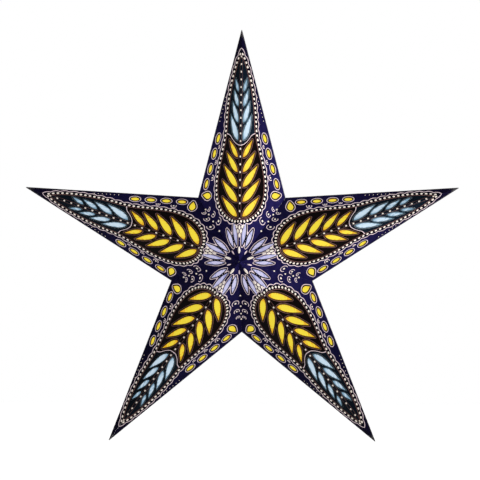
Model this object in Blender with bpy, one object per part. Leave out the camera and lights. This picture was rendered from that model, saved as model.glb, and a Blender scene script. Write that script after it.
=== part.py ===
"""Paper star lantern with five hollow arms of pierced card, which folds flat like a fan.

The star hangs from its top tip, which is the origin. +Z is up and the front faces -Y.
An arm is four triangular panels, two in front and two behind. Each panel runs from the
star's apex (A) to the arm's tip (T) and to the inner corner beside the arm (V): A to T is
the ridge, A to V the valley crease and T to V the outer edge. The ring of panels is open
along the valley between the two lower arms, where creased flaps and pads close it.
"""

from math import atan2, cos, pi, radians, sin

import bmesh
import bpy
from mathutils import Matrix, Vector

# The star
tip_radius = 0.315
valley_radius = 0.1025
half_depth = 0.095
card_thickness = 0.00045
tissue_thickness = 0.00015

# Clearances
glue_gap = 0.0003
crease_half_gap = 0.00015
edge_half_gap = 0.00045
apex_hole_radius = 0.004
cut_overrun = 0.003

# Where a folded sheet turns, measured from the outer faces of the card
ridge_fold_depth = 0.00115
valley_fold_height = 0.0002

# Windows in the card, which lie on both sides of each ridge like leaves on a stem
stem_half_width = 0.0055
edge_row_inset = 0.0108
corner_drop_inset = 0.0105
tissue_margin = 0.0025

# Closing flaps and pads at the open seam
flap_width = 0.010
flap_thickness = 0.0004
flap_from_apex = 0.020
flap_from_corner = 0.016
pad_radius = 0.004
pad_thickness = 0.0006
pad_half_gap = 0.00015

# Each leaf: place of its root and its width as shares of the ridge, its length as a share of
# the way to the edge row, and its angle to the ridge in degrees
yellow_leaf_shares = (
    (0.196, 0.0290, 0.520, 49),
    (0.259, 0.0305, 0.600, 47),
    (0.322, 0.0290, 0.615, 44),
    (0.385, 0.0255, 0.590, 41),
    (0.448, 0.0215, 0.550, 38),
)
blue_leaf_shares = (
    (0.522, 0.0290, 0.720, 27),
    (0.598, 0.0245, 0.740, 26),
    (0.668, 0.0200, 0.770, 25),
    (0.732, 0.0155, 0.840, 24),
)
# Each lancet round the apex: start, length and width as shares of the ridge, and its turn off
# the ridge as a share of the panel's angle there
lancet_shares = (
    (0.072, 0.108, 0.0220, 0.31),
    (0.076, 0.098, 0.0200, 0.70),
)
# Each lozenge of the edge row: its place from the inner corner to the tip, as a share
edge_row_shares = (0.088, 0.178, 0.268, 0.358)
# How far a window swells towards its root, and how far a leaf bends
root_fullness = 0.72
even_fullness = 1.0
leaf_curl_share = 0.09
# Lozenges as shares of the outer edge, and the corner drop as shares of the valley crease
lozenge_length_share = 0.046
lozenge_width_share = 0.58
corner_drop_length_share = 0.129
corner_drop_width_share = 0.059
corner_drop_lean = 27
pad_place_shares = (0.22, 0.78)
pad_depth_share = 0.54

large_leaf_side_points = 4
small_leaf_side_points = 3
lozenge_points = 6
pad_sides = 16

arm_names = ("top", "right", "lower_right", "lower_left", "left")
half_names = {1: "front", -1: "back"}
side_names = {1: "right", -1: "left"}
arm_count = len(arm_names)
half_sector = pi / arm_count
first_panel = (0, 1)
seam_arm = 2
star_centre = Vector((0, 0, -tip_radius))


def new_collection(name):
    collection = bpy.data.collections.new(name)
    bpy.context.scene.collection.children.link(collection)
    return collection


def new_material(name, colour, roughness):
    material = bpy.data.materials.new(name)
    material.use_nodes = True
    shader = material.node_tree.nodes["Principled BSDF"]
    shader.inputs["Base Color"].default_value = (*colour, 1)
    shader.inputs["Roughness"].default_value = roughness
    shader.inputs["Metallic"].default_value = 0
    material.diffuse_color = (*colour, 1)
    return material


# Places in the star

def arm_angle(arm):
    """Angle of an arm's middle from straight up, growing clockwise as seen from the front."""
    return 2 * half_sector * arm


def spoke(angle):
    return Vector((sin(angle), 0, cos(angle)))


def clockwise(angle):
    return Vector((cos(angle), 0, -sin(angle)))


def apex_point(half):
    return star_centre + Vector((0, -half * half_depth, 0))


def tip_point(arm):
    return star_centre + tip_radius * spoke(arm_angle(arm))


def corner_point(arm, side):
    return star_centre + valley_radius * spoke(arm_angle(arm) + side * half_sector)


def frame_matrix(x_axis, y_axis, z_axis, origin):
    matrix = Matrix((x_axis, y_axis, z_axis)).transposed().to_4x4()
    matrix.translation = origin
    return matrix


def panel_frame(arm, half, side):
    """Frame of a panel's outer face: x runs up the ridge from the apex and z points outwards."""
    apex = apex_point(half)
    along = (tip_point(arm) - apex).normalized()
    outward = along.cross(corner_point(arm, side) - apex).normalized()
    if outward.y * half > 0:
        outward.negate()
    return frame_matrix(along, outward.cross(along), outward, apex)


def panel_corners(arm, half, side):
    """The panel's three corners in its own frame: apex, tip and inner corner."""
    to_panel = panel_frame(arm, half, side).inverted()
    corners = (apex_point(half), tip_point(arm), corner_point(arm, side))
    return [(to_panel @ corner).to_2d() for corner in corners]


# Outlines, drawn beside the ridge with the distance from the apex first

def leaf_outline(root, length, width, angle, fullness, side_points, curl=0.0):
    """A leaf with a point at each end. A fullness under 1 swells it towards its root."""
    along = Vector((cos(angle), sin(angle)))
    across = Vector((-sin(angle), cos(angle)))
    steps = [(step + 1) / (side_points + 1) for step in range(side_points)]

    def place(share, half_width):
        bow = curl * length * share * share
        return root + along * (share * length) + across * (half_width - bow)

    near = [place(share, -width / 2 * sin(pi * share**fullness)) for share in steps]
    far = [place(share, width / 2 * sin(pi * share**fullness)) for share in reversed(steps)]
    return [place(0, 0), *near, place(1, 0), *far]


def oval_outline(middle, length, width, angle, points):
    along = Vector((cos(angle), sin(angle)))
    across = Vector((-sin(angle), cos(angle)))
    turns = [2 * pi * point / points for point in range(points)]
    return [middle + along * (length / 2 * cos(turn)) + across * (width / 2 * sin(turn)) for turn in turns]


def angle_of(direction):
    """Angle of a direction to the ridge."""
    return atan2(direction.y, direction.x)


def edge_inwards(corners):
    """Direction square to the outer edge, towards the apex."""
    _, tip, corner = corners
    edge = tip - corner
    return Vector((edge.y, -edge.x)).normalized()


def lancet(corners, shares):
    _, tip, corner = corners
    start, length, width = (share * tip.length for share in shares[:-1])
    angle = shares[-1] * angle_of(corner)
    along = Vector((cos(angle), sin(angle)))
    return leaf_outline(along * start, length, width, angle, even_fullness, small_leaf_side_points)


def stem_leaf(corners, shares, side_points):
    _, tip, corner = corners
    place_share, width_share, reach_share, angle = shares
    root = Vector((place_share * tip.length, stem_half_width))
    along = Vector((cos(radians(angle)), sin(radians(angle))))
    inwards = edge_inwards(corners)
    reach = (corner + inwards * edge_row_inset - root).dot(inwards) / along.dot(inwards)
    width = width_share * tip.length
    return leaf_outline(
        root, reach_share * reach, width, radians(angle), root_fullness, side_points, leaf_curl_share
    )


def edge_lozenge(corners, share):
    _, tip, corner = corners
    edge = tip - corner
    middle = corner + edge * share + edge_inwards(corners) * edge_row_inset
    length = lozenge_length_share * edge.length
    return oval_outline(middle, length, lozenge_width_share * length, angle_of(edge), lozenge_points)


def corner_drop(corners):
    """The drop that points at the inner corner, leaning to the valley crease."""
    _, tip, corner = corners
    to_apex = -corner.normalized()
    to_tip = (tip - corner).normalized()
    outwards = -(to_apex + to_tip).normalized()
    angle = angle_of(outwards) - radians(corner_drop_lean)
    length = corner_drop_length_share * corner.length
    point = corner - outwards * corner_drop_inset
    root = point - Vector((cos(angle), sin(angle))) * length
    width = corner_drop_width_share * corner.length
    return leaf_outline(root, length, width, angle, root_fullness, large_leaf_side_points)


def window_outlines(corners):
    """Every window of one panel, with the distance from the ridge positive."""
    return [
        *(lancet(corners, shares) for shares in lancet_shares),
        *(stem_leaf(corners, shares, large_leaf_side_points) for shares in yellow_leaf_shares),
        *(stem_leaf(corners, shares, small_leaf_side_points) for shares in blue_leaf_shares),
        *(edge_lozenge(corners, share) for share in edge_row_shares),
        corner_drop(corners),
    ]


def moved_in(corners, margin):
    """A triangle with each side moved in by a margin, or out where the margin is negative."""
    moved = []
    for index, corner in enumerate(corners):
        to_last = (corners[index - 1] - corner).normalized()
        to_next = (corners[(index + 1) % len(corners)] - corner).normalized()
        half_angle = to_last.angle(to_next) / 2
        towards = (to_last + to_next).normalized()
        moved.append(corner + towards * (margin / sin(half_angle)))
    return moved


# Solids

def sheet_mesh(name, outlines, thickness, top):
    """A flat sheet whose first outline is its edge and whose others are holes; its top is at z."""
    curve = bpy.data.curves.new(name, "CURVE")
    curve.dimensions = "2D"
    curve.fill_mode = "BOTH"
    curve.extrude = thickness / 2
    for outline in outlines:
        spline = curve.splines.new("POLY")
        spline.points.add(len(outline[1:]))
        for point, place in zip(spline.points, outline):
            point.co = (place.x, place.y, 0, 1)
        spline.use_cyclic_u = True
    flat = bpy.data.objects.new(name, curve)
    bpy.context.scene.collection.objects.link(flat)
    depsgraph = bpy.context.evaluated_depsgraph_get()
    mesh = bpy.data.meshes.new_from_object(flat.evaluated_get(depsgraph))
    bpy.data.objects.remove(flat)
    bpy.data.curves.remove(curve)
    mesh.transform(Matrix.Translation((0, 0, top - thickness / 2)))
    shape = bmesh.new()
    shape.from_mesh(mesh)
    bmesh.ops.remove_doubles(shape, verts=shape.verts, dist=crease_half_gap / 10)
    shape.to_mesh(mesh)
    shape.free()
    mesh.name = name
    return mesh


def trim_mesh(mesh, to_local, planes):
    """Cut away what lies behind each plane, given in world space, and close the cut."""
    shape = bmesh.new()
    shape.from_mesh(mesh)
    for point, normal in planes:
        bmesh.ops.bisect_plane(
            shape,
            geom=[*shape.verts, *shape.edges, *shape.faces],
            plane_co=to_local @ point,
            plane_no=to_local.to_3x3() @ normal,
            clear_inner=True,
        )
        rim = [edge for edge in shape.edges if edge.is_boundary]
        bmesh.ops.holes_fill(shape, edges=rim)
    bmesh.ops.recalc_face_normals(shape, faces=shape.faces)
    shape.to_mesh(mesh)
    shape.free()


def place_object(name, mesh, matrix, material, parent):
    thing = bpy.data.objects.new(name, mesh)
    mesh.materials.clear()
    mesh.materials.append(material)
    lantern.objects.link(thing)
    set_parent(thing, matrix, parent)
    return thing


def set_parent(thing, matrix, parent):
    world_of[thing.name] = matrix
    thing.parent = parent
    thing.matrix_basis = world_of[parent.name].inverted() @ matrix if parent else matrix


def crease_empty(name, point, along, parent):
    """An empty on a crease, with its z axis along the crease: turning it folds what it carries."""
    empty = bpy.data.objects.new(name, None)
    empty.empty_display_size = apex_hole_radius
    lantern.objects.link(empty)
    side = along.orthogonal().normalized()
    set_parent(empty, frame_matrix(side, along.cross(side), along, point), parent)
    return empty


# Creases

def fold_line(arm_sides, half, far_point, offset):
    """A line from an apex to a far point, moved off the outer faces of two panels by an offset."""
    outward = [panel_frame(arm, half, side).col[2].to_3d() for arm, side in arm_sides]
    bisector = (outward[0] + outward[1]).normalized()
    start = apex_point(half) + bisector * (offset / bisector.dot(outward[0]))
    return start, (far_point - apex_point(half)).normalized()


def ridge_line(arm, half):
    return fold_line(((arm, 1), (arm, -1)), half, tip_point(arm), -ridge_fold_depth)


def valley_line(arm, half):
    """The crease between an arm and the next arm clockwise."""
    sides = ((arm, 1), ((arm + 1) % arm_count, -1))
    return fold_line(sides, half, corner_point(arm, 1), valley_fold_height)


def outer_edge_line(arm, side):
    along = (corner_point(arm, side) - tip_point(arm)).normalized()
    return tip_point(arm), along


def next_crease(arm, half, side, turn):
    """Name and line of the crease met on going clockwise (turn 1) or back (turn -1), and the panel past it."""
    if side == turn:
        behind = arm if turn > 0 else (arm - 1) % arm_count
        ahead = (behind + 1) % arm_count
        name = f"{arm_names[behind]}_to_{arm_names[ahead]}_{half_names[half]}_valley_crease"
        return name, valley_line(behind, half), ((arm + turn) % arm_count, -turn)
    name = f"{arm_names[arm]}_arm_{half_names[half]}_ridge_crease"
    return name, ridge_line(arm, half), (arm, turn)


# Sub-parts

def add_panel(arm, half, side, parent):
    """One card panel and the tissue behind its windows."""
    frame = panel_frame(arm, half, side)
    corners = panel_corners(arm, half, side)
    hand = 1 if corners[2].y > 0 else -1
    flipped = [Vector((corner.x, hand * corner.y)) for corner in corners]

    def handed(outline):
        return [Vector((place.x, hand * place.y)) for place in outline]

    stem = f"{arm_names[arm]}_arm_{half_names[half]}_{side_names[side]}"
    blank = moved_in(flipped, -cut_overrun)
    outlines = [handed(outline) for outline in (blank, *window_outlines(flipped))]
    card = sheet_mesh(stem + "_panel", outlines, card_thickness, 0)
    into_arm = clockwise(arm_angle(arm)) * side
    off_valley = clockwise(arm_angle(arm) + side * half_sector) * -side
    off_centre = Vector((0, -half, 0))
    apex = apex_point(half)
    outwards = (tip_point(arm) - apex).normalized() + (corner_point(arm, side) - apex).normalized()
    outwards.normalize()
    planes = (
        (star_centre + into_arm * crease_half_gap, into_arm),
        (star_centre + off_valley * crease_half_gap, off_valley),
        (star_centre + off_centre * edge_half_gap, off_centre),
        (apex + outwards * apex_hole_radius, outwards),
    )
    trim_mesh(card, frame.inverted(), planes)
    place_object(stem + "_panel", card, frame, card_material, parent)
    backing = sheet_mesh(
        stem + "_tissue",
        [handed(moved_in(flipped, tissue_margin))],
        tissue_thickness,
        -card_thickness - glue_gap,
    )
    place_object(stem + "_tissue", backing, frame, tissue_material, parent)


def add_flap(arm, half, side, panel_parent):
    """The creased flap on one edge of the open seam, with its two pads."""
    apex = apex_point(half)
    corner = corner_point(arm, side)
    along = (corner - apex).normalized()
    off_seam = clockwise(arm_angle(arm) + side * half_sector) * -side
    inwards = along.cross(off_seam).normalized()
    if inwards.dot(star_centre + spoke(arm_angle(arm) + side * half_sector) * valley_radius / 2 - apex) < 0:
        inwards.negate()
    panel_out = panel_frame(arm, half, side).col[2].to_3d()
    seam_offset = pad_half_gap + pad_thickness + glue_gap
    depth_below_face = card_thickness + glue_gap
    slope_sine = -panel_out.dot(off_seam)
    slope_cosine = -panel_out.dot(inwards)
    top_depth = (depth_below_face - slope_sine * seam_offset) / slope_cosine
    stem = f"{arm_names[arm]}_{half_names[half]}"
    hinge_point = apex + off_seam * (seam_offset + flap_thickness / 2) + inwards * top_depth
    crease = crease_empty(stem + "_flap_crease", hinge_point, along, panel_parent)
    across = off_seam.cross(along)
    hand = 1 if across.dot(inwards) > 0 else -1
    frame = frame_matrix(along, across, off_seam, apex)
    length = (corner - apex).length
    start, end = flap_from_apex, length - flap_from_corner
    outline = [
        Vector((start, hand * top_depth)),
        Vector((end, hand * top_depth)),
        Vector((end, hand * (top_depth + flap_width))),
        Vector((start, hand * (top_depth + flap_width))),
    ]
    flap = sheet_mesh(stem + "_closing_flap", [outline], flap_thickness, seam_offset + flap_thickness)
    trim_mesh(flap, frame.inverted(), ())
    place_object(stem + "_closing_flap", flap, frame, card_material, crease)
    kind, material = ("hook", hook_material) if side > 0 else ("loop", loop_material)
    for number, share in enumerate(pad_place_shares, start=1):
        bpy.ops.mesh.primitive_cylinder_add(vertices=pad_sides, radius=pad_radius, depth=pad_thickness)
        primitive = bpy.context.object
        mesh = primitive.data
        bpy.data.objects.remove(primitive)
        place = Vector((
            start + share * (end - start),
            hand * (top_depth + pad_depth_share * flap_width),
            pad_half_gap + pad_thickness / 2,
        ))
        name = f"{stem}_{kind}_pad_{number}"
        mesh.name = name
        place_object(name, mesh, frame @ Matrix.Translation(place), material, crease)


def add_half(half, first_parent):
    """All ten panels of the front or the back, as two chains that leave the top arm's right panel."""
    arm, side = first_panel
    add_panel(arm, half, side, first_parent)
    for turn in (1, -1):
        (arm, side), parent = first_panel, first_parent
        while (arm, side) not in ((seam_arm, 1), (seam_arm + 1, -1)):
            name, (point, along), (arm, side) = next_crease(arm, half, side, turn)
            parent = crease_empty(name, point, along, parent)
            add_panel(arm, half, side, parent)
        add_flap(arm, half, side, parent)


for leftover in list(bpy.data.objects):
    bpy.data.objects.remove(leftover)
lantern = new_collection("paper_star_lantern")
world_of = {}
card_material = new_material("printed card", (0.035, 0.022, 0.16), 0.55)
tissue_material = new_material("coloured tissue", (0.85, 0.62, 0.05), 0.7)
hook_material = new_material("hook pad", (0.75, 0.75, 0.73), 0.8)
loop_material = new_material("loop pad", (0.85, 0.85, 0.83), 0.95)

star = bpy.data.objects.new("star", None)
star.empty_display_size = valley_radius
lantern.objects.link(star)
set_parent(star, Matrix.Translation(star_centre), None)
add_half(1, star)
edge_point, edge_along = outer_edge_line(*first_panel)
back_hinge = crease_empty("top_arm_right_edge_crease", edge_point, edge_along, star)
add_half(-1, back_hinge)
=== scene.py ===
# %% [markdown]
# # A folding paper star lantern
# The star is twenty triangles of printed card. Leaf windows are punched in each, and coloured
# tissue is glued behind them. The measured frame gives every panel its place and its motion, so
# this lesson builds finer sheets on the same places: it models one card and one tissue by hand,
# paints them with shader nodes, and then copies them round the star.

# %% Load the fixed frame
from math import atan2, cos, pi, radians, sin

import bpy
from mathutils import Matrix, Vector, kdtree


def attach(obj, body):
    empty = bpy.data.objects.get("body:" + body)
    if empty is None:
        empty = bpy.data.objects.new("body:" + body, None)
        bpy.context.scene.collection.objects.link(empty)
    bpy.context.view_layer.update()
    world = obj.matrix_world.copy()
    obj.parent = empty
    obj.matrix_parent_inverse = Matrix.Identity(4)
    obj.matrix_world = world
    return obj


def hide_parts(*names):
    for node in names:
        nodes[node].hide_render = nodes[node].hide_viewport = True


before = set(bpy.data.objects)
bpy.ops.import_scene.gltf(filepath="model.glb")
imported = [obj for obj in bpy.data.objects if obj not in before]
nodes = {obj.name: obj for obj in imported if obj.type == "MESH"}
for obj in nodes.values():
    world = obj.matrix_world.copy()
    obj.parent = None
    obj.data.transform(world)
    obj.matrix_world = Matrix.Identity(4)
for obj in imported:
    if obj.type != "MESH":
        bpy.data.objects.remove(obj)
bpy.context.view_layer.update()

# %% [markdown]
# ## Camera
# The photograph looks at the star almost square on, from a long way off, so its arms barely
# taper. A long lens from four and a half metres gives that, and a small shift puts the star's
# middle where the photograph has it.

# %% Camera at the photograph's angle
scene = bpy.context.scene
scene.view_settings.view_transform = "Standard"

tip_radius = 0.315
star_middle = Vector((0, 0, -tip_radius))
picture_pixels = 480
pixels_per_metre = 727.0
middle_pixel = (241.8, 257.8)
camera_distance = 4.5
camera_azimuth = radians(2.3)
camera_elevation = radians(3.4)
sensor_width = 36.0
sight_distance = 50

towards_camera = Vector((
    sin(camera_azimuth) * cos(camera_elevation),
    -cos(camera_azimuth) * cos(camera_elevation),
    sin(camera_elevation),
))
camera_data = bpy.data.cameras.new("camera")
camera = bpy.data.objects.new("camera", camera_data)
scene.collection.objects.link(camera)
camera.location = star_middle + towards_camera * camera_distance
camera.rotation_euler = (-towards_camera).to_track_quat("-Z", "Y").to_euler()
camera_data.sensor_width = sensor_width
camera_data.lens = sensor_width * camera_distance * pixels_per_metre / picture_pixels
camera_data.shift_x = (picture_pixels / 2 - middle_pixel[0]) / picture_pixels
camera_data.shift_y = (middle_pixel[1] - picture_pixels / 2) / picture_pixels
camera_data.clip_end = sight_distance
scene.camera = camera
print("camera: lens", round(camera_data.lens, 1), "mm")

# %% [markdown]
# ## Small helpers for node trees
# A material is a chain of small steps, so each helper adds one node to the tree that is being
# drawn, feeds its inputs from numbers or from other nodes, and hands back its output. Effects
# that are used again are node groups with named inputs.

# %% Helpers for nodes


def draw_in(tree):
    """Makes the helpers below add their nodes to this tree."""
    global drawn_tree
    drawn_tree = tree


def feed(socket, source):
    if isinstance(source, bpy.types.NodeSocket):
        drawn_tree.links.new(source, socket)
    else:
        socket.default_value = source


def add_node(kind, inputs, **settings):
    """A node of one kind, with its settings made and then its inputs fed."""
    node = drawn_tree.nodes.new("ShaderNode" + kind)
    for name, value in settings.items():
        setattr(node, name, value)
    for name, source in inputs.items():
        feed(node.inputs[name], source)
    return node


def maths(operation, *sources):
    return add_node("Math", dict(enumerate(sources)), operation=operation).outputs[0]


def vector_maths(operation, *sources):
    node = add_node("VectorMath", dict(enumerate(sources)), operation=operation)
    return node.outputs["Value" if operation in ("LENGTH", "DOT_PRODUCT") else "Vector"]


def smooth(value, low, high):
    """0 below low, 1 above high, with a soft change between them."""
    inputs = {"Value": value, "From Min": low, "From Max": high}
    return add_node("MapRange", inputs, interpolation_type="SMOOTHSTEP").outputs["Result"]


def inverse(value):
    return maths("SUBTRACT", 1.0, value)


def chain(operation, result, *others):
    """Values joined by an operation, one after another."""
    for other in others:
        result = maths(operation, result, other)
    return result


def both(*masks):
    return chain("MULTIPLY", *masks)


def either(*masks):
    return chain("MAXIMUM", *masks)


def weighted(*pairs):
    """The sum of each value times its weight."""
    return chain("ADD", *(both(value, weight) for value, weight in pairs))


def fading(value, start, end, share):
    """The share where the value is under the start, fading to nothing at the end."""
    return both(inverse(smooth(value, start, end)), share)


def parts(vector):
    return add_node("SeparateXYZ", {0: vector}).outputs


def painted(colour, *layers):
    """A colour with layers of ink over it, each given as its mask and its ink."""
    for mask, ink in layers:
        inputs = {"Factor": mask, "A": colour, "B": ink}
        colour = add_node("Mix", inputs, data_type="RGBA").outputs["Result"]
    return colour


def noise(place, scale, detail, roughness):
    inputs = {"Vector": place, "Scale": scale, "Detail": detail, "Roughness": roughness}
    return add_node("TexNoise", inputs).outputs["Fac"]


def stored(name):
    return add_node("Attribute", {}, attribute_name=name).outputs["Vector"]


def shown_ray():
    """1 for rays that show the background: those of the camera, of gloss and through glass."""
    rays = add_node("LightPath", {}).outputs
    return either(rays["Is Camera Ray"], rays["Is Glossy Ray"], rays["Is Transmission Ray"])


def mixed_shader(mask, first, second):
    return add_node("MixShader", {"Fac": mask, 1: first.outputs[0], 2: second.outputs[0]})


def new_group(name, outputs, vectors=(), **numbers):
    """Starts a group, its numbers with their usual values, and hands back its two ends."""
    draw_in(bpy.data.node_groups.new(name, "ShaderNodeTree"))
    sockets = drawn_tree.interface
    for title in vectors:
        sockets.new_socket(name=title, in_out="INPUT", socket_type="NodeSocketVector")
    for title, value in numbers.items():
        title = title.replace("_", " ")
        socket = sockets.new_socket(name=title, in_out="INPUT", socket_type="NodeSocketFloat")
        socket.default_value = value
    for title in outputs:
        sockets.new_socket(name=title, in_out="OUTPUT", socket_type="NodeSocketFloat")
    entry = drawn_tree.nodes.new("NodeGroupInput")
    leave = drawn_tree.nodes.new("NodeGroupOutput")
    print("group:", name)
    return entry.outputs, leave.inputs


def use_group(name, **sources):
    inputs = {title.replace("_", " "): source for title, source in sources.items()}
    return add_node("Group", inputs, node_tree=bpy.data.node_groups[name]).outputs


def new_material(name, roughness):
    """Starts a material, and hands it back with its shader and its Object coordinates."""
    material = bpy.data.materials.new(name)
    material.use_nodes = True
    draw_in(material.node_tree)
    shader = drawn_tree.nodes["Principled BSDF"]
    shader.inputs["Roughness"].default_value = roughness
    place = add_node("TexCoord", {}).outputs["Object"]
    return material, shader, place


def add_bump(shader, height, distance, strength):
    bump = add_node("Bump", {"Height": height, "Distance": distance, "Strength": strength})
    feed(shader.inputs["Normal"], bump.outputs["Normal"])


print("node helpers ready")

# %% [markdown]
# ## Light
# The sides that face right are bright and the light falls off towards the lower left arm, so a
# soft lamp stands close by on the right. The top arm is the brightest, on both its sides, so a
# beam from the right and a weaker one from the left meet there. A weak lamp on the left and a
# little light from all round keep the dark sides readable. A lamp behind the star, which the
# photograph can't show, lights its back.

# %% Lamps and surrounding light
# Place, power and size of each soft lamp
soft_lamps = {
    "key_lamp": ((0.75, -0.80, -0.40), 1.5, 0.40),
    "fill_lamp": ((-0.5, -1.8, 0.8), 0.2, 0.8),
    "back_lamp": ((-0.7, 1.5, 0.3), 4.5, 0.8),
}
# Place, target, power and angle of each beam
beams = {
    "right_beam": ((0.93, -0.56, -0.38), (0.03, -0.04, -0.19), 32, radians(24)),
    "left_beam": ((-0.90, -0.50, -0.15), (-0.03, -0.04, -0.19), 11, radians(20)),
}
beam_softness, beam_size = 1.0, 0.12
white = (1, 1, 1, 1)
surround_strength, backdrop_strength = 0.014, 1.0


def add_lamp(name, kind, place, target, power):
    data = bpy.data.lights.new(name, kind)
    data.energy = power
    lamp = bpy.data.objects.new(name, data)
    scene.collection.objects.link(lamp)
    lamp.location = place
    lamp.rotation_euler = (Vector(place) - Vector(target)).to_track_quat("Z", "Y").to_euler()
    return data


for name, (place, power, size) in soft_lamps.items():
    lamp = add_lamp(name, "AREA", place, star_middle, power)
    lamp.shape = "DISK"
    lamp.size = size
for name, (place, target, power, angle) in beams.items():
    lamp = add_lamp(name, "SPOT", place, target, power)
    lamp.spot_size = angle
    lamp.spot_blend = beam_softness
    lamp.shadow_soft_size = beam_size

world = bpy.data.worlds.new("studio")
scene.world = world
world.use_nodes = True
draw_in(world.node_tree)
surround = drawn_tree.nodes["Background"]
feed(surround.inputs["Color"], white)
feed(surround.inputs["Strength"], surround_strength)
backdrop = add_node("Background", {"Color": white, "Strength": backdrop_strength})
world_mix = mixed_shader(shown_ray(), surround, backdrop)
feed(drawn_tree.nodes["World Output"].inputs["Surface"], world_mix.outputs[0])
print("lamps:", *soft_lamps, *beams)

# %% [markdown]
# ## Stage
# A plain pale floor lies well below the hanging star. It is lit like any other surface, so it
# keeps the star's shadow. A glow lifts it to near white, but only for the rays that show it:
# those of the camera, of gloss and through glass.

# %% Floor
floor_height = -1.25
floor_size = 14
floor_colour = (0.86, 0.86, 0.85, 1)
floor_roughness = 0.8
floor_glow = 0.985
bpy.ops.mesh.primitive_plane_add(size=floor_size, location=(0, 0, floor_height))
floor = bpy.context.object
floor.name = "floor"
floor_finish, shader, _ = new_material("pale floor", floor_roughness)
feed(shader.inputs["Base Color"], floor_colour)
glow = add_node("Emission", {"Strength": floor_glow})
no_glow = add_node("Emission", {"Strength": 0.0})
shown_glow = mixed_shader(shown_ray(), no_glow, glow)
together = add_node("AddShader", {0: shader.outputs[0], 1: shown_glow.outputs[0]})
feed(drawn_tree.nodes["Material Output"].inputs["Surface"], together.outputs[0])
floor.data.materials.append(floor_finish)
print("floor at", floor_height)

# %% [markdown]
# ## Measures of one panel
# All twenty panels are the same triangle or its mirror image: from the apex in the middle of the
# star (A) up the ridge to the arm's tip (T), and down to the inner corner beside the arm (V).
# Each is drawn flat with the ridge along x, and a frame turns the drawing into its place.

# %% Corners and frames
valley_radius = 0.1025
half_depth = 0.095
card_thickness = 0.00045
tissue_thickness = 0.00015
glue_gap = 0.0003
tissue_margin = 0.0025
crease_half_gap = 0.00004
edge_half_gap = 0.00018
blunt_tip_radius = 0.3127
blunt_apex_depth = 0.0936
arm_names = ("top", "right", "lower_right", "lower_left", "left")
half_names = {1: "front", -1: "back"}
side_names = {1: "right", -1: "left"}
half_sector = pi / len(arm_names)


def arm_angle(arm):
    return 2 * half_sector * arm


def spoke(angle):
    return Vector((sin(angle), 0, cos(angle)))


def clockwise(angle):
    return Vector((cos(angle), 0, -sin(angle)))


def apex_point(half):
    return star_middle + Vector((0, -half * half_depth, 0))


def tip_point(arm):
    return star_middle + tip_radius * spoke(arm_angle(arm))


def corner_point(arm, side):
    return star_middle + valley_radius * spoke(arm_angle(arm) + side * half_sector)


def frame_matrix(x_axis, y_axis, z_axis, origin):
    matrix = Matrix((x_axis, y_axis, z_axis)).transposed().to_4x4()
    matrix.translation = origin
    return matrix


def panel_frame(arm, half, side):
    """Frame of a panel's outer face: x runs up the ridge from the apex and z points outwards."""
    apex = apex_point(half)
    along = (tip_point(arm) - apex).normalized()
    outward = along.cross(corner_point(arm, side) - apex).normalized()
    if outward.y * half > 0:
        outward.negate()
    return frame_matrix(along, outward.cross(along), outward, apex)


# The drawn panel is the top arm's front left one, whose corner lies at a positive y
model_side = -1
model_frame = panel_frame(0, 1, model_side)
to_drawing = model_frame.inverted()
tip = (to_drawing @ tip_point(0)).to_2d()
corner = (to_drawing @ corner_point(0, model_side)).to_2d()
ridge_length = tip.length
edge = tip - corner
edge_inwards = Vector((edge.y, -edge.x)).normalized()
apex_angle = atan2(corner.y, corner.x)
print("panel: ridge", round(ridge_length, 4), "edge", round(edge.length, 4), "corner", corner[:])

# %% [markdown]
# ## The windows
# Yellow leaves stand on both sides of the ridge like leaves on a stem, pale blue ones follow
# towards the tip, two lancets lie round the apex, and small lozenges and a drop line the outer
# edge. Each outline is drawn as a smooth closed curve, which keeps the cut clean.

# %% Outlines of the windows
stem_half_width = 0.0055
edge_row_inset = 0.0108
corner_drop_inset = 0.0105
corner_drop_lean = 27
# Place of the root, width and length as shares, and the angle to the ridge in degrees
yellow_leaf_shares = (
    (0.196, 0.0290, 0.520, 49),
    (0.259, 0.0305, 0.600, 47),
    (0.322, 0.0290, 0.615, 44),
    (0.385, 0.0255, 0.590, 41),
    (0.448, 0.0215, 0.550, 38),
)
blue_leaf_shares = (
    (0.522, 0.0290, 0.720, 27),
    (0.598, 0.0245, 0.740, 26),
    (0.668, 0.0200, 0.770, 25),
    (0.732, 0.0155, 0.840, 24),
)
lancet_shares = ((0.072, 0.108, 0.0220, 0.31), (0.076, 0.098, 0.0200, 0.70))
edge_row_shares = (0.088, 0.178, 0.268, 0.358)
lozenge_half_length_share = 0.023
lozenge_half_width_share = 0.01334
corner_drop_length_share = 0.129
corner_drop_width_share = 0.059
leaf_curl_share = 0.09
root_fullness = 0.72
even_fullness = 1.0
side_points = 14
oval_points = 24


def leaf_outline(root, length, width, angle, fullness, curl=0.0):
    """A leaf with a point at each end. A fullness under 1 swells it towards its root."""
    along = Vector((cos(angle), sin(angle)))
    across = Vector((-sin(angle), cos(angle)))
    steps = [(step + 1) / (side_points + 1) for step in range(side_points)]

    def place(share, side):
        half_width = side * width / 2 * sin(pi * share**fullness)
        bow = curl * length * share * share
        return root + along * (share * length) + across * (half_width - bow)

    near = [place(share, -1) for share in steps]
    far = [place(share, 1) for share in reversed(steps)]
    return [place(0, 0), *near, place(1, 0), *far]


def stem_leaf(place_share, width_share, reach_share, degrees):
    root = Vector((place_share * ridge_length, stem_half_width))
    angle = radians(degrees)
    along = Vector((cos(angle), sin(angle)))
    row_offset = corner + edge_inwards * edge_row_inset - root
    reach = row_offset.dot(edge_inwards) / along.dot(edge_inwards)
    width = width_share * ridge_length
    return leaf_outline(root, reach_share * reach, width, angle, root_fullness, leaf_curl_share)


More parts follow.
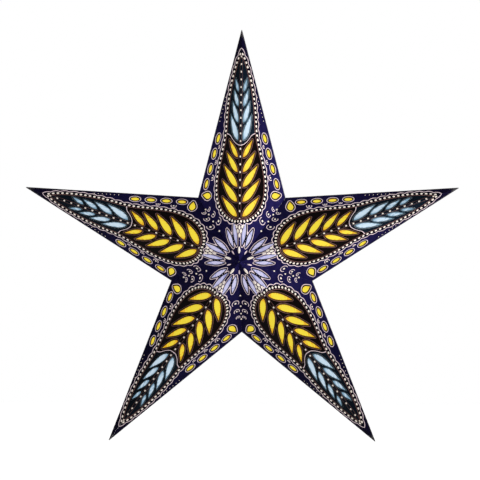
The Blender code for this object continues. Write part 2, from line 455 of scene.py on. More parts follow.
def lancet(start_share, length_share, width_share, angle_share):
    angle = angle_share * apex_angle
    start = Vector((cos(angle), sin(angle))) * (start_share * ridge_length)
    length, width = length_share * ridge_length, width_share * ridge_length
    return leaf_outline(start, length, width, angle, even_fullness)


def edge_place(share, inset):
    """A point beside the outer edge, with its place from the corner to the tip as a share."""
    return corner + edge * share + edge_inwards * inset


def row_lozenge(share):
    along = edge * lozenge_half_length_share
    across = edge_inwards * (lozenge_half_width_share * edge.length)
    turns = [2 * pi * point / oval_points for point in range(oval_points)]
    middle = edge_place(share, edge_row_inset)
    return [middle + along * cos(turn) + across * sin(turn) for turn in turns]


def corner_drop():
    outwards = (corner.normalized() - edge.normalized()).normalized()
    angle = atan2(outwards.y, outwards.x) - radians(corner_drop_lean)
    length = corner_drop_length_share * corner.length
    root = corner - outwards * corner_drop_inset - Vector((cos(angle), sin(angle))) * length
    return leaf_outline(root, length, corner_drop_width_share * corner.length, angle, root_fullness)


windows = {
    "yellow": [stem_leaf(*shares) for shares in yellow_leaf_shares],
    "blue": [stem_leaf(*shares) for shares in blue_leaf_shares],
    "lancet": [lancet(*shares) for shares in lancet_shares],
    "row": [*(row_lozenge(share) for share in edge_row_shares), corner_drop()],
}
print("windows:", {kind: len(found) for kind, found in windows.items()})

# %% [markdown]
# ## The card
# The real panel is die-cut from sheet. Here a fine grid is thickened into a slab, bisected along
# its sides, and the windows are cut out of it with one prism for each outline. The fine grid
# matters: it carries the measures that the print follows. The tip and the apex are cut blunt,
# because a paper point never stays sharp.

# %% Helpers for modelling
sheet_margin = 0.004


def select_only(*things):
    for other in bpy.context.selected_objects:
        other.select_set(False)
    for thing in things:
        thing.select_set(True)
        bpy.context.view_layer.objects.active = thing


def edit_all(thing):
    """Opens a piece in edit mode with all of it selected."""
    select_only(thing)
    bpy.ops.object.mode_set(mode="EDIT")
    bpy.ops.mesh.select_all(action="SELECT")


def apply_modifier(thing, kind, **settings):
    select_only(thing)
    modifier = thing.modifiers.new(kind.lower(), kind)
    for name, value in settings.items():
        setattr(modifier, name, value)
    bpy.ops.object.modifier_apply(modifier=modifier.name)


def drawing_slab(name, spacing, thickness, top):
    """A fine slab over the panel's triangle, with its upper face at height top."""
    select_only()
    length, width = ridge_length + 2 * sheet_margin, corner.y + 2 * sheet_margin
    bpy.ops.mesh.primitive_grid_add(
        x_subdivisions=round(length / spacing), y_subdivisions=round(width / spacing), size=1
    )
    slab = bpy.context.object
    slab.name = name
    edit_all(slab)
    bpy.ops.transform.resize(value=(length, width, 1))
    bpy.ops.transform.translate(value=(length / 2 - sheet_margin, width / 2 - sheet_margin, top))
    bpy.ops.object.mode_set(mode="OBJECT")
    apply_modifier(slab, "SOLIDIFY", thickness=thickness, offset=-1)
    return slab


def trim(slab, planes):
    """Cuts away what lies behind each plane, given as a point and a normal in space."""
    for point, normal in planes:
        edit_all(slab)
        bpy.ops.mesh.bisect(
            plane_co=to_drawing @ point,
            plane_no=to_drawing.to_3x3() @ normal,
            use_fill=True,
            clear_inner=True,
        )
    bpy.ops.object.mode_set(mode="OBJECT")


print("modelling helpers ready")

# %% Cut the card
card_spacing = 0.0018
punch_half_height = 0.004
weld_distance = 0.00001
into_arm = clockwise(0) * model_side
off_valley = clockwise(model_side * half_sector) * -model_side
outwards = Vector((0, -1, 0))
card_planes = (
    (star_middle + into_arm * crease_half_gap, into_arm),
    (star_middle + off_valley * crease_half_gap, off_valley),
    (star_middle + outwards * edge_half_gap, outwards),
    (star_middle + outwards * blunt_apex_depth, -outwards),
    (star_middle + spoke(0) * blunt_tip_radius, -spoke(0)),
)
card_model = drawing_slab("card_model", card_spacing, card_thickness, 0)
trim(card_model, card_planes)

punch_curve = bpy.data.curves.new("punch", "CURVE")
punch_curve.dimensions = "2D"
punch_curve.fill_mode = "BOTH"
punch_curve.extrude = punch_half_height
for outlines in windows.values():
    for outline in outlines:
        spline = punch_curve.splines.new("POLY")
        spline.points.add(len(outline) - 1)
        for point, place in zip(spline.points, outline):
            point.co = (place.x, place.y, 0, 1)
        spline.use_cyclic_u = True
punch = bpy.data.objects.new("punch", punch_curve)
scene.collection.objects.link(punch)
select_only(punch)
bpy.ops.object.convert(target="MESH")
punch = bpy.context.object
edit_all(punch)
bpy.ops.mesh.remove_doubles(threshold=weld_distance)
bpy.ops.mesh.normals_make_consistent(inside=False)
bpy.ops.object.mode_set(mode="OBJECT")
apply_modifier(card_model, "BOOLEAN", operation="DIFFERENCE", object=punch, solver="EXACT")
apply_modifier(card_model, "TRIANGULATE")
bpy.data.objects.remove(punch)
print("card:", len(card_model.data.polygons), "faces")

# %% [markdown]
# ## The tissue
# Behind the windows lies one sheet of tissue, smaller than the card all round. It is modelled
# the same way, coarser, because nothing is cut in it.

# %% Tissue sheet
tissue_spacing = 0.0032
tissue_top = -card_thickness - glue_gap
apex = Vector((0, 0))


def tissue_plane(start, end):
    """The plane that trims the tissue beside one side of the panel."""
    along = (end - start).normalized()
    inwards = Vector((-along.y, along.x))
    point = start + inwards * tissue_margin
    return model_frame @ point.to_3d(), model_frame.to_3x3() @ inwards.to_3d()


tissue_model = drawing_slab("tissue_model", tissue_spacing, tissue_thickness, tissue_top)
trim(tissue_model, [tissue_plane(apex, tip), tissue_plane(tip, corner), tissue_plane(corner, apex)])
apply_modifier(tissue_model, "TRIANGULATE")
print("tissue:", len(tissue_model.data.polygons), "faces")

# %% [markdown]
# ## Measures that the print follows
# A printed border keeps its distance from the cut windows, and beads sit at even steps along it.
# So every vertex stores where it lies on the sheet, how far the nearest window of each colour
# is, and where it lies along and beside the border line that goes round the leaves. It also
# stores how far the second nearest leaf is, because the webs between leaves get no lines.

# %% The border line
border_points = (
    (0.0570, -0.0060), (0.0570, 0.0000), (0.0580, 0.0095), (0.0635, 0.0220), (0.0720, 0.0335),
    (0.0830, 0.0425), (0.0960, 0.0482), (0.1100, 0.0503), (0.1240, 0.0498), (0.1370, 0.0470),
    (0.1490, 0.0433), (0.1600, 0.0395), (0.1700, 0.0360), (0.1800, 0.0332), (0.1900, 0.0313),
    (0.2010, 0.0303), (0.2130, 0.0293), (0.2260, 0.0275), (0.2400, 0.0247), (0.2540, 0.0210),
    (0.2670, 0.0165), (0.2790, 0.0112), (0.2890, 0.0052), (0.2950, 0.0000), (0.2990, -0.0060),
)
steps_between = 24
outline_step = 0.0003


def smooth_line(points):
    """Points along a smooth curve through the given ones, all but the first and the last."""
    line = []
    for before, start, end, after in zip(points, points[1:], points[2:], points[3:]):
        bend = 2 * before - 5 * start + 4 * end - after
        twist = 3 * start - before - 3 * end + after
        for step in range(steps_between):
            t = step / steps_between
            line.append((2 * start + (end - before) * t + bend * t**2 + twist * t**3) / 2)
    return line


def point_tree(places):
    tree = kdtree.KDTree(len(places))
    for index, place in enumerate(places):
        tree.insert(place.to_3d(), index)
    tree.balance()
    return tree


def outline_tree(outlines):
    places = []
    for outline in outlines:
        for start, end in zip(outline, outline[1:] + outline[:1]):
            count = max(1, round((end - start).length / outline_step))
            places += [start.lerp(end, step / count) for step in range(count)]
    return point_tree(places)


border = smooth_line([Vector(point) for point in border_points])
border_lengths = [0.0]
for last, point in zip(border, border[1:]):
    border_lengths.append(border_lengths[-1] + (point - last).length)
border_tree = point_tree(border)
window_trees = {kind: outline_tree(outlines) for kind, outlines in windows.items()}
leaf_trees = [outline_tree([outline]) for outline in windows["yellow"] + windows["blue"]]
print("border:", round(border_lengths[-1], 4), "m")

# %% Store the measures


def border_place(place):
    """Length along the border line, and the distance from it, positive outside."""
    index = min(max(border_tree.find(place)[1], 1), len(border) - 2)
    along = (border[index + 1] - border[index - 1]).normalized()
    offset = place.to_2d() - border[index]
    return border_lengths[index] + offset.dot(along), -offset.cross(along)


def store_vectors(mesh, name, vectors):
    attribute = mesh.attributes.new(name, "FLOAT_VECTOR", "POINT")
    attribute.data.foreach_set("vector", [value for row in vectors for value in row])


def store_measures(mesh):
    places = [Vector((vertex.co.x, vertex.co.y, 0)) for vertex in mesh.vertices]
    ways = {kind: [tree.find(place)[2] for place in places] for kind, tree in window_trees.items()}
    store_vectors(mesh, "sheet_place", places)
    store_vectors(mesh, "border_way", [(*border_place(place), 0) for place in places])
    store_vectors(mesh, "window_ways", zip(ways["yellow"], ways["blue"], ways["lancet"]))
    # The second nearest leaf is near only in the narrow webs between two leaves
    webs = [sorted(tree.find(place)[2] for tree in leaf_trees)[1] for place in places]
    store_vectors(mesh, "row_way", [(way, web, 0) for way, web in zip(ways["row"], webs)])


store_measures(card_model.data)
store_measures(tissue_model.data)
outer_face_cosine = 0.5
for mesh in (card_model.data, tissue_model.data):
    for polygon in mesh.polygons:
        polygon.material_index = 0 if polygon.normal.z > outer_face_cosine else 1
print("stored on", len(card_model.data.vertices), "points of the card")

# %% [markdown]
# ## Ink, paper and wear as node groups
# Lines, beads, scallops, arcs and spots are each a mask made from a distance. The same groups
# draw them everywhere, with other widths and places. Paper grain is a group because card, tissue
# and flaps all need it, and worn edges are one because sides and creases wear alike.

# %% Group: a stroke with soft sides
ink_softness = 0.00012
given, give = new_group("stroke", ["Mask"], Distance=0.0, Half_Width=0.0005)
inner = maths("SUBTRACT", given["Half Width"], ink_softness)
outer = maths("ADD", given["Half Width"], ink_softness)
away = maths("ABSOLUTE", given["Distance"])
feed(give["Mask"], inverse(smooth(away, inner, outer)))


def stroke(distance, half_width):
    return use_group("stroke", Distance=distance, Half_Width=half_width)["Mask"]


# %% Group: a row of beads
middle_of_step = 0.5
given, give = new_group(
    "printed beads", ["Mask"], Along=0.0, Across=0.0, Pitch=0.005, Radius=0.001
)
step_share = maths("FRACT", maths("DIVIDE", given["Along"], given["Pitch"]))
step_off = both(maths("SUBTRACT", step_share, middle_of_step), given["Pitch"])
offset = add_node("CombineXYZ", {"X": step_off, "Y": given["Across"]})
away = vector_maths("LENGTH", offset.outputs[0])
feed(give["Mask"], stroke(away, given["Radius"]))

# %% Group: a scalloped line
given, give = new_group(
    "printed scallops", ["Mask"], Along=0.0, Across=0.0, Height=0.002, Pitch=0.008, Half_Width=0.0005
)
turn = both(maths("DIVIDE", given["Along"], given["Pitch"]), pi)
wave = both(maths("ABSOLUTE", maths("SINE", turn)), given["Height"])
feed(give["Mask"], stroke(maths("SUBTRACT", given["Across"], wave), given["Half Width"]))

# %% Group: an oval spot
spot_soft_edge = (0.9, 1.1)
given, give = new_group("printed spot", ["Mask"], ["Place", "Centre", "Radii"], Turn=0.0)
offset = vector_maths("SUBTRACT", given["Place"], given["Centre"])
turn = maths("MULTIPLY", given["Turn"], -1.0)
turned = add_node("VectorRotate", {"Vector": offset, "Angle": turn}, rotation_type="Z_AXIS")
share = vector_maths("DIVIDE", turned.outputs[0], given["Radii"])
away = vector_maths("LENGTH", share)
feed(give["Mask"], inverse(smooth(away, *spot_soft_edge)))

# %% Group: an arc
arc_end_softness = 0.08
given, give = new_group(
    "printed arc", ["Mask"], ["Place", "Centre", "Middle"], Radius=0.003, Reach=0.0, Half_Width=0.0005
)
offset = vector_maths("SUBTRACT", given["Place"], given["Centre"])
length = vector_maths("LENGTH", offset)
cosine = maths("DIVIDE", vector_maths("DOT_PRODUCT", offset, given["Middle"]), length)
ring = stroke(maths("SUBTRACT", length, given["Radius"]), given["Half Width"])
soft_end = maths("ADD", given["Reach"], arc_end_softness)
feed(give["Mask"], both(ring, smooth(cosine, given["Reach"], soft_end)))

# %% Group: distances to the panel's sides
valley_along = Vector((cos(apex_angle), sin(apex_angle), 0))
valley_inwards = Vector((sin(apex_angle), -cos(apex_angle), 0))
given, give = new_group(
    "distances to the sides", ["Ridge", "Valley", "Edge", "Along Edge"], ["Place"]
)
from_corner = vector_maths("SUBTRACT", given["Place"], corner.to_3d())
feed(give["Ridge"], parts(given["Place"])["Y"])
for title, offset, direction in (
    ("Valley", given["Place"], valley_inwards),
    ("Edge", from_corner, edge_inwards.to_3d()),
    ("Along Edge", from_corner, edge.normalized().to_3d()),
):
    feed(give[title], vector_maths("DOT_PRODUCT", offset, direction))

# %% Group: paper grain
# Scale, detail and roughness of each noise
fine_noise = (900.0, 3.0, 0.6)
broad_noise = (22.0, 2.0, 0.5)
mottle_noise = (130.0, 3.0, 0.55)
fine_height = 0.05
mottle_tone, fine_tone = 0.6, 0.4
given, give = new_group("paper grain", ["Height", "Tone"], ["Place"], Cockle=0.5)
fine = noise(given["Place"], *fine_noise)
broad = noise(given["Place"], *broad_noise)
mottle = noise(given["Place"], *mottle_noise)
feed(give["Height"], weighted((fine, fine_height), (broad, given["Cockle"])))
feed(give["Tone"], weighted((mottle, mottle_tone), (fine, fine_tone)))

# %% Group: worn edges
patch_noise, patch_share = (60.0, 3.0, 0.65), 0.55
nick_noise, nick_share = (420.0, 3.0, 0.7), 0.45
usual_amount, amount_weight = 0.5, 0.5
chip_range = (0.52, 0.62)
given, give = new_group(
    "worn edges", ["Mask"], ["Place"], Distance=0.0, Reach=0.001, Amount=usual_amount
)
patches = noise(given["Place"], *patch_noise)
nicks = noise(given["Place"], *nick_noise)
mixed = weighted((patches, patch_share), (nicks, nick_share))
extra = both(maths("SUBTRACT", given["Amount"], usual_amount), amount_weight)
chipped = smooth(maths("ADD", mixed, extra), *chip_range)
closeness = inverse(smooth(given["Distance"], 0.0, given["Reach"]))
feed(give["Mask"], both(closeness, chipped))

# %% [markdown]
# ## The printed card
# Navy ink covers the card, and painted shade darkens it towards the tips, where the light falls
# off. Round the yellow leaves it turns to a very dark brown, with a painted amber glow beside the
# windows, and round the blue ones to a dark teal. Pale lines, beads, crescents and curls are left
# unprinted, and a painted glow, standing in for a lamp inside, makes them shine a little. The ink
# is slightly satin, thin at the creases and chipped at the edges and the tips, and a painted
# highlight runs faintly along the outer edges.

# %% Colours and helpers of the print
navy = (0.029, 0.023, 0.142, 1)
deep_navy = (0.008, 0.006, 0.050, 1)
# Painted shade: near-black that darkens the navy towards the tips, where the light falls off
tip_shade_colour = (0.008, 0.004, 0.022, 1)
dark_brown = (0.0050, 0.0020, 0.0024, 1)
# Painted glow: amber beside the yellow windows, as light bleeding through the print
glow_amber = (0.30, 0.13, 0.012, 1)
dark_teal = (0.008, 0.018, 0.034, 1)
pale_teal = (0.16, 0.27, 0.35, 1)
line_ink = (0.84, 0.68, 0.72, 1)
leaf_ink = (0.34, 0.17, 0.15, 1)
blue_leaf_ink = (0.42, 0.48, 0.54, 1)
band_ink = (0.004, 0.003, 0.014, 1)
cream = (0.95, 0.85, 0.75, 1)
bare_paper = (0.60, 0.56, 0.55, 1)
black = (0, 0, 0, 1)
satin_base, satin_change = 0.33, 0.22
print_gloss = 0.015
print_cockle = 0.5
wanted_bead_pitch = 0.0064
bead_pitch = border_lengths[-1] / round(border_lengths[-1] / wanted_bead_pitch)
arc_half_width = 0.00048


def line(distance, offset, half_width):
    """A line where the distance equals the offset."""
    return stroke(maths("SUBTRACT", distance, offset), half_width)


def beads(along, across, pitch, radius):
    return use_group("printed beads", Along=along, Across=across, Pitch=pitch, Radius=radius)["Mask"]


def spot(place, long_radius, short_radius, turn=0.0):
    radii = (long_radius, short_radius, 1)
    return use_group("printed spot", Place=sheet, Centre=place, Radii=radii, Turn=turn)["Mask"]


def arc(place, middle, radius, sweep):
    """Part of a ring, with its middle in one direction and its ends a sweep away on both sides."""
    return use_group(
        "printed arc", Place=sheet, Centre=place, Middle=middle, Radius=radius,
        Reach=cos(sweep), Half_Width=arc_half_width,
    )["Mask"]


def above(value, level):
    return smooth(value, level - ink_softness, level + ink_softness)


def below(value, level):
    return inverse(above(value, level))


def beside_valley(along, inwards):
    return valley_along * along + valley_inwards * inwards


printed_card, shader, place = new_material("printed card", satin_base)
feed(shader.inputs["Specular IOR Level"], print_gloss)
sheet = stored("sheet_place")
border_s, border_d, _ = parts(stored("border_way"))
yellow_d, blue_d, lancet_d = parts(stored("window_ways"))
row_d, web_d, _ = parts(stored("row_way"))
sheet_x = parts(sheet)["X"]
sides = use_group("distances to the sides", Place=sheet)
grain = use_group("paper grain", Place=place, Cockle=print_cockle)
print("print helpers ready")

# %% Fields of ink
mottle_range = (0.35, 0.65)
plain_navy_share = 0.45
tip_shade_range, tip_shade_share = (0.16, 0.28), 0.72
band_half_width = 0.0031
window_rim = 0.0002
teal_reach = 0.0015
# Start, end and share of the painted amber glow round the yellow leaves
painted_amber_glow = (window_rim, 0.0011, 0.6)
row_rim, row_field_reach, lancet_field_reach = 0.0024, 0.0020, 0.0017

tone_mask = smooth(grain["Tone"], *mottle_range)
# Painted shade, darker towards the tips
painted_tip_shade = both(smooth(sheet_x, *tip_shade_range), tip_shade_share)
inside = below(border_d, -band_half_width)
yellow_lead = maths("SUBTRACT", blue_d, yellow_d)
yellow_side = above(yellow_lead, 0.0)
blue_side = inverse(yellow_side)
teal = painted(pale_teal, (smooth(blue_d, window_rim, teal_reach), dark_teal))
colour = painted(
    deep_navy,
    (tone_mask, navy),
    (plain_navy_share, navy),
    (painted_tip_shade, tip_shade_colour),
    (both(line(border_d, 0.0, band_half_width), above(row_d, row_rim)), band_ink),
    (both(inside, yellow_side), dark_brown),
    (both(inside, blue_side), teal),
    # Painted amber glow beside the yellow windows
    (fading(yellow_d, *painted_amber_glow), glow_amber),
    (below(row_d, row_field_reach), dark_brown),
    (below(lancet_d, lancet_field_reach), band_ink),
)
print("fields: ground, band, brown, teal")

# %% Pale lines, curls and crescents
row_gap = 0.0032
scallop_height, scallop_half_width = 0.0021, 0.00058
parting_half_width, row_ring_half_width = 0.0007, 0.00045
# Offset and half width of the lancets' line, and how far it stays from the border
lancet_line, lancet_line_gap = (0.0021, 0.00042), 0.0032
# Place along the valley and away from it, radius, and radius of the dot inside
valley_curls = (
    (0.0785, 0.0078, 0.0052, 0.0016),
    (0.0950, 0.0064, 0.0040, 0.0013),
    (0.1080, 0.0048, 0.0029, 0.0009),
)
valley_dots, valley_dot_radii = (0.0660, 0.0870, 0.1020, 0.1130), (0.0014, 0.0012)
# Place along the outer edge as a share, distance from it, and radius
row_crescents = ((0.133, 0.0200, 0.0036), (0.223, 0.0182, 0.0027), (0.313, 0.0170, 0.0021))
curl_sweep, crescent_sweep = radians(130), radians(115)
crescent_dot_share = 0.34

far_from_row = above(row_d, row_gap)
off_band = maths("SUBTRACT", border_d, band_half_width)
scallops = use_group(
    "printed scallops", Along=border_s, Across=off_band, Height=scallop_height,
    Pitch=bead_pitch * 2, Half_Width=scallop_half_width,
)["Mask"]
pale_lines = [
    both(scallops, far_from_row),
    both(line(yellow_lead, 0.0, parting_half_width), inside),
    line(row_d, row_rim, row_ring_half_width),
    both(line(lancet_d, *lancet_line), above(border_d, lancet_line_gap)),
]
dots = []
for along, inwards, radius, dot_radius in valley_curls:
    middle = beside_valley(along, inwards)
    pale_lines.append(arc(middle, -valley_along, radius, curl_sweep))
    dots.append(spot(middle, dot_radius, dot_radius))
for along in valley_dots:
    dots.append(spot(beside_valley(along, 0), *valley_dot_radii, apex_angle))
for share, inset, radius in row_crescents:
    middle = edge_place(share, inset).to_3d()
    dot_radius = radius * crescent_dot_share
    pale_lines.append(arc(middle, edge_inwards.to_3d(), radius, crescent_sweep))
    dots.append(spot(middle, dot_radius, dot_radius))
print("pale:", len(pale_lines), "lines and", len(dots), "dots")

# %% Beads, florets and fine lines
# Pitch and radius of each kind of bead
border_bead, stem_bead, edge_bead = (bead_pitch, 0.0017), (0.0109, 0.0014), (0.0056, 0.0006)
edge_bead_inset, edge_bead_start, edge_bead_end = 0.0046, 0.1060, 0.1460
# Place, long and short radius, and turn in degrees
florets = (
    (0.0168, 0.0000, 0.0048, 0.0023, 0),
    (0.0372, 0.0000, 0.0032, 0.0017, 0),
    (0.0435, 0.0030, 0.0028, 0.0019, 25),
    (0.0482, 0.0000, 0.0030, 0.0021, 0),
    (0.0500, 0.0058, 0.0024, 0.0018, 45),
)
ray_place, ray_radii = 0.0200, (0.0042, 0.0010)
# Offset from what it follows, and half width, of each fine line
leaf_line, blue_line = (0.0019, 0.00036), (0.0017, 0.00030)
stem_line, inner_line = (0.0026, 0.00028), (-band_half_width, 0.00045)
leaf_line_end = -0.0036
web_range = (0.0038, 0.0048)
stem_line_share, fine_line_share = 0.7, 0.85

along_edge = sides["Along Edge"]
edge_beads = beads(along_edge, maths("SUBTRACT", sides["Edge"], edge_bead_inset), *edge_bead)
cream_marks = [
    both(beads(border_s, border_d, *border_bead), far_from_row),
    both(beads(sheet_x, sides["Ridge"], *stem_bead), inside),
    both(edge_beads, above(along_edge, edge_bead_start), below(along_edge, edge_bead_end)),
    *dots,
]
for x, y, long_radius, short_radius, degrees in florets:
    cream_marks.append(spot((x, y, 0), long_radius, short_radius, radians(degrees)))
pale_lines.append(spot(beside_valley(ray_place, 0), *ray_radii, apex_angle))

off_web = smooth(web_d, *web_range)
leaf_lines = both(line(yellow_d, *leaf_line), below(border_d, leaf_line_end), off_web)
blue_lines = both(line(blue_d, *blue_line), inside, blue_side, off_web)
stem_lines = both(line(sides["Ridge"], *stem_line), inside, stem_line_share)
inner_lines = both(line(border_d, *inner_line), far_from_row)
leaf_mask = either(leaf_lines, stem_lines, inner_lines)
pale_mask = either(*pale_lines)
cream_mask = either(*cream_marks)
colour = painted(
    colour,
    (both(leaf_mask, fine_line_share), leaf_ink),
    (both(blue_lines, fine_line_share), blue_leaf_ink),
    (pale_mask, line_ink),
    (cream_mask, cream),
)
print("motifs:", len(pale_lines), "pale ones and", len(cream_marks), "cream ones")

# %% Wear, a painted edge highlight and a painted glow from the unprinted paper
tip_raggedness = 0.012
near_tip_range = (0.030, 0.062)
# Start, end and share of the rubbing at the tips, and of the painted highlight along the outer edges
tip_wear, edge_sheen = (0.012, 0.021, 0.52), (0.0, 0.0016, 0.14)
edge_rub_range, edge_rub_share = (0.0010, 0.0024), 0.30
# Reach, amount and share of the chipped ink
edge_chips, crease_chips = (0.0016, 0.62, 0.75), (0.0008, 0.45, 0.4)
painted_leaf_glow_share = 0.4
# Strength of the painted glow of the pale print, which stands in for a lamp inside the star
painted_print_glow = 0.62
# Distance and strength, as for every bump below
print_bump = (0.0012, 0.6)


def chips(distance, reach, amount, share):
    """Ink chipped off in patches within a reach of a side or a crease."""
    found = use_group("worn edges", Place=place, Distance=distance, Reach=reach, Amount=amount)
    return both(found["Mask"], share)


tip_way = maths("SUBTRACT", ridge_length, sheet_x)
ragged = maths("ADD", tip_way, both(grain["Tone"], tip_raggedness))
near_tip = inverse(smooth(tip_way, *near_tip_range))
crease_way = maths("MINIMUM", sides["Ridge"], sides["Valley"])
# Real wear of the ink, with the painted edge highlight joined in
wear_and_edge_sheen = either(
    chips(sides["Edge"], *edge_chips),
    chips(crease_way, *crease_chips),
    fading(ragged, *tip_wear),
    both(fading(sides["Edge"], *edge_rub_range, near_tip), edge_rub_share),
    # Painted highlight: a faint pale band along the outer edges
    fading(sides["Edge"], *edge_sheen),
)
# Painted glow: leaf lines, pale lines and cream marks give light of their own
painted_leaf_glow = both(leaf_mask, painted_leaf_glow_share)
glow = painted(black, (painted_leaf_glow, leaf_ink), (pale_mask, line_ink), (cream_mask, cream))
feed(shader.inputs["Base Color"], painted(colour, (wear_and_edge_sheen, bare_paper)))
feed(shader.inputs["Emission Color"], painted(glow, (wear_and_edge_sheen, black)))
feed(shader.inputs["Emission Strength"], painted_print_glow)
feed(shader.inputs["Roughness"], maths("ADD", both(grain["Tone"], satin_change), satin_base))
add_bump(shader, grain["Height"], *print_bump)
print("material:", printed_card.name)

# %% [markdown]
# ## Bare card, tissue and pads
# Inside and at its cut edges the card is plain. The tissue is translucent; a painted glow of its
# own stands in for a lamp behind it, strongest in the middle of each window, and painted shade
# darkens each window towards its sides. The tissue's inner face is painted dark, as shade inside
# the star.

# %% Bare card and plain navy card
bare_dark, bare_light = (0.12, 0.11, 0.12, 1), (0.26, 0.24, 0.24, 1)
bare_roughness, navy_roughness = 0.8, 0.5
plain_cockle, plain_bump = 0.3, (0.0006, 0.5)


def plain_paper(name, roughness, cockle, bump, dark, light):
    """Paper without print, mottled between two colours."""
    material, shader, place = new_material(name, roughness)
    grain = use_group("paper grain", Place=place, Cockle=cockle)
    feed(shader.inputs["Base Color"], painted(dark, (grain["Tone"], light)))
    add_bump(shader, grain["Height"], *bump)
    return material


bare_card = plain_paper(
    "bare card", bare_roughness, plain_cockle, plain_bump, bare_dark, bare_light
)
navy_card = plain_paper("navy card", navy_roughness, plain_cockle, plain_bump, deep_navy, navy)
print("materials:", bare_card.name, navy_card.name)

# %% Tissue
yellow_deep = (0.78, 0.38, 0.010, 1)
yellow_light = (0.88, 0.70, 0.042, 1)
blue_deep = (0.23, 0.38, 0.51, 1)
blue_light = (0.59, 0.73, 0.85, 1)
lilac_deep = (0.34, 0.35, 0.63, 1)
lilac_light = (0.60, 0.58, 0.80, 1)
# Painted shade: the tissue's inner face is dark grey-brown, as shade inside the star
inside_shade_dark, inside_shade_light = (0.10, 0.09, 0.07, 1), (0.20, 0.18, 0.13, 1)
tissue_shade, tissue_shade_share = (0.02, 0.02, 0.02, 1), 0.6
tissue_painted_glow = 0.86
tissue_roughness, tissue_cockle, tissue_bump = 0.7, 1.0, (0.0015, 0.6)
# Scale, detail and roughness of each noise, and its share
fibre_noise, cloud_noise = (260.0, 4.0, 0.7, 0.7), (45.0, 2.0, 0.5, 0.5)
noise_middle = 0.5
# Start, end and share of the shade along the stem
stem_shade = (0.0050, 0.0150, 0.55)
leaf_reach, lancet_reach = 0.0020, 0.0018
row_depth_scale = 1.6

tissue_paper, shader, place = new_material("coloured tissue", tissue_roughness)
yellow_d, blue_d, lancet_d = parts(stored("window_ways"))
row_d = parts(stored("row_way"))["X"]
ridge_way = parts(stored("sheet_place"))["Y"]
near_stem = fading(ridge_way, *stem_shade)


def uneven(scale, detail, roughness, share):
    """A noise that lies evenly on both sides of nothing."""
    found = noise(place, scale, detail, roughness)
    return both(maths("SUBTRACT", found, noise_middle), share)


fibres = uneven(*fibre_noise)
clouds = uneven(*cloud_noise)


def tint(distance, deep, light, reach):
    """Paler in the middle of a window, with painted shade at its sides from the card's edge, and
    uneven like handmade tissue.
    """
    depth = maths("SUBTRACT", smooth(distance, window_rim, reach), near_stem)
    depth = chain("ADD", depth, fibres, clouds)
    return painted(deep, (smooth(depth, 0.0, 1.0), light))


warm_d = maths("MINIMUM", yellow_d, row_d)
nearest_leaf_d = maths("MINIMUM", warm_d, blue_d)
warm_depth = maths("MINIMUM", yellow_d, both(row_d, row_depth_scale))
warm = tint(warm_depth, yellow_deep, yellow_light, leaf_reach)
cool = tint(blue_d, blue_deep, blue_light, leaf_reach)
lilac = tint(lancet_d, lilac_deep, lilac_light, lancet_reach)
is_blue = above(maths("SUBTRACT", warm_d, blue_d), 0.0)
is_lilac = above(maths("SUBTRACT", nearest_leaf_d, lancet_d), 0.0)
tissue_colour = painted(warm, (is_blue, cool), (is_lilac, lilac))
feed(shader.inputs["Base Color"], painted(tissue_colour, (tissue_shade_share, tissue_shade)))
# Painted glow: the tissue gives light of its own, standing in for a lamp behind it
feed(shader.inputs["Emission Color"], tissue_colour)
feed(shader.inputs["Emission Strength"], tissue_painted_glow)
grain = use_group("paper grain", Place=place, Cockle=tissue_cockle)
add_bump(shader, grain["Height"], *tissue_bump)
# The tissue's inner face, painted dark as shade inside the star
shaded_tissue_inside = plain_paper(
    "tissue from inside in painted shade", bare_roughness, tissue_cockle, tissue_bump, inside_shade_dark, inside_shade_light
)
print("materials:", tissue_paper.name, shaded_tissue_inside.name)

# %% Pads
pad_roughness, pad_shade_share = 0.9, 0.6
pad_bump = (0.0004, 1.0)
hook_colour, hook_scale = (0.75, 0.75, 0.73), 1400.0
loop_colour, loop_scale = (0.85, 0.85, 0.83), 2200.0


def woven_finish(name, colour, scale):
    material, shader, place = new_material(name, pad_roughness)
    cells = add_node("TexVoronoi", {"Scale": scale, "Vector": place}).outputs["Distance"]
    shade = tuple(channel * pad_shade_share for channel in colour)
    feed(shader.inputs["Base Color"], painted((*shade, 1), (cells, (*colour, 1))))
    add_bump(shader, cells, *pad_bump)
    return material


pad_finishes = {
    "hook": woven_finish("hook pad", hook_colour, hook_scale),
    "loop": woven_finish("loop pad", loop_colour, loop_scale),
}
print("pad materials:", *pad_finishes)

# %% [markdown]
# ## Twenty panels
# The card and the tissue were modelled once. For the other hand the copy is mirrored, which
# turns a shape inside out, so its faces are flipped back. Each copy's place goes into its mesh,
# and it rides on the body of the panel it stands for.

# %% Copy the sheets round the star
mirror = Matrix.Diagonal((1, -1, 1, 1))
card_finishes = (printed_card, bare_card)
tissue_finishes = (tissue_paper, shaded_tissue_inside)


def add_piece(name, mesh, materials, body, node):
    mesh.name = name
    for material in materials:
        mesh.materials.append(material)
    piece = bpy.data.objects.new(name, mesh)
    scene.collection.objects.link(piece)
    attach(piece, body)
    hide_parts(node)


def panel_copy(model, arm, half, side):
    mesh = model.data.copy()
    if side * half != model_side:
        mesh.transform(mirror)
        mesh.flip_normals()
    mesh.transform(panel_frame(arm, half, side))
    return mesh


for arm, arm_name in enumerate(arm_names):
    for half, half_name in half_names.items():
        for side, side_name in side_names.items():
            body = f"{arm_name}_arm_{half_name}_{side_name}"
            card = panel_copy(card_model, arm, half, side)
            backing = panel_copy(tissue_model, arm, half, side)
            add_piece(body + "_card", card, card_finishes, body, body + "_panel")
            add_piece(body + "_backing", backing, tissue_finishes, body, body + "_tissue")
bpy.data.objects.remove(card_model)
bpy.data.objects.remove(tissue_model)
print("placed cards and tissues on", len(arm_names), "arms")

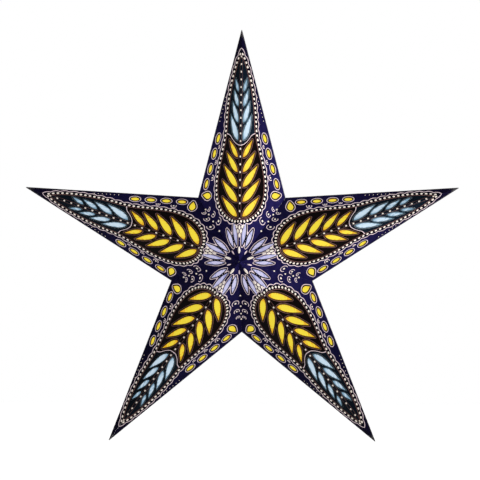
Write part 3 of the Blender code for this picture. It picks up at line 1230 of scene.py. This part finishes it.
# %% [markdown]
# ## Flaps and pads at the open seam
# The ring of panels is open between the two lower arms. On the real star a strip of card is
# folded inwards along each side of the seam, its free corners are cut round, and round hook and
# loop pads on it hold the seam shut. The frame's flaps and pads give the measures, so each finer
# one is modelled flat and then turned into its place.

# %% Flaps
flap_corner_radius = 0.004
flap_corner_segments = 8
pad_bevel = {"width": 0.00012, "segments": 3, "limit_method": "ANGLE"}
pad_sides = 48
seam_sides = {"lower_right": (2, 1, "hook"), "lower_left": (3, -1, "loop")}


def seam_frame(arm, half, side):
    """Frame at the seam: x runs down the valley from the apex, y inwards and z off the seam."""
    apex = apex_point(half)
    along = (corner_point(arm, side) - apex).normalized()
    off_seam = clockwise(arm_angle(arm) + side * half_sector) * -side
    across = off_seam.cross(along)
    return frame_matrix(along, across, off_seam, apex)


def measured(node, matrix):
    """The least and the greatest place of a node's points along each axis of a frame."""
    to_frame = matrix.inverted()
    points = [to_frame @ vertex.co for vertex in node.data.vertices]
    low, high = ([find(places) for places in zip(*points)] for find in (min, max))
    return Vector(low), Vector(high)


def round_flap(low, high, inwards_sign):
    """A strip of card with its two free corners rounded."""
    select_only()
    span, middle = high - low, (low + high) / 2
    bpy.ops.mesh.primitive_plane_add(size=1)
    flap = bpy.context.object
    edit_all(flap)
    bpy.ops.transform.resize(value=(span.x, span.y, 1))
    bpy.ops.transform.translate(value=(middle.x, middle.y, high.z))
    bpy.ops.mesh.select_all(action="DESELECT")
    bpy.ops.object.mode_set(mode="OBJECT")
    for vertex in flap.data.vertices:
        vertex.select = (vertex.co.y - middle.y) * inwards_sign > 0
    bpy.ops.object.mode_set(mode="EDIT")
    bpy.ops.mesh.bevel(offset=flap_corner_radius, segments=flap_corner_segments, affect="VERTICES")
    bpy.ops.object.mode_set(mode="OBJECT")
    apply_modifier(flap, "SOLIDIFY", thickness=span.z, offset=-1)
    return flap


def round_pad(low, high):
    select_only()
    span, middle = high - low, (low + high) / 2
    bpy.ops.mesh.primitive_cylinder_add(vertices=pad_sides, radius=span.x / 2, depth=span.z)
    pad = bpy.context.object
    apply_modifier(pad, "BEVEL", **pad_bevel)
    pad.data.transform(Matrix.Translation(middle))
    return pad


def take_mesh(thing, matrix):
    """The modelled mesh, turned into its place. The object it was modelled in goes."""
    mesh = thing.data
    mesh.transform(matrix)
    bpy.data.objects.remove(thing)
    return mesh


for half, half_name in half_names.items():
    for arm_name, (arm, side, kind) in seam_sides.items():
        matrix = seam_frame(arm, half, side)
        stem = f"{arm_name}_{half_name}"
        body = stem + "_closing_flap"
        low, high = measured(nodes[body], matrix)
        flap = take_mesh(round_flap(low, high, 1 if high.y > abs(low.y) else -1), matrix)
        seam_face = matrix.col[2].to_3d()
        for polygon in flap.polygons:
            polygon.material_index = 0 if polygon.normal.dot(seam_face) < -outer_face_cosine else 1
        add_piece(stem + "_round_flap", flap, (navy_card, bare_card), body, body)
        for pad_number in (1, 2):
            node_name = f"{stem}_{kind}_pad_{pad_number}"
            pad = take_mesh(round_pad(*measured(nodes[node_name], matrix)), matrix)
            disc_name = f"{stem}_{kind}_disc_{pad_number}"
            add_piece(disc_name, pad, (pad_finishes[kind],), body, node_name)
print("flaps and pads finished")
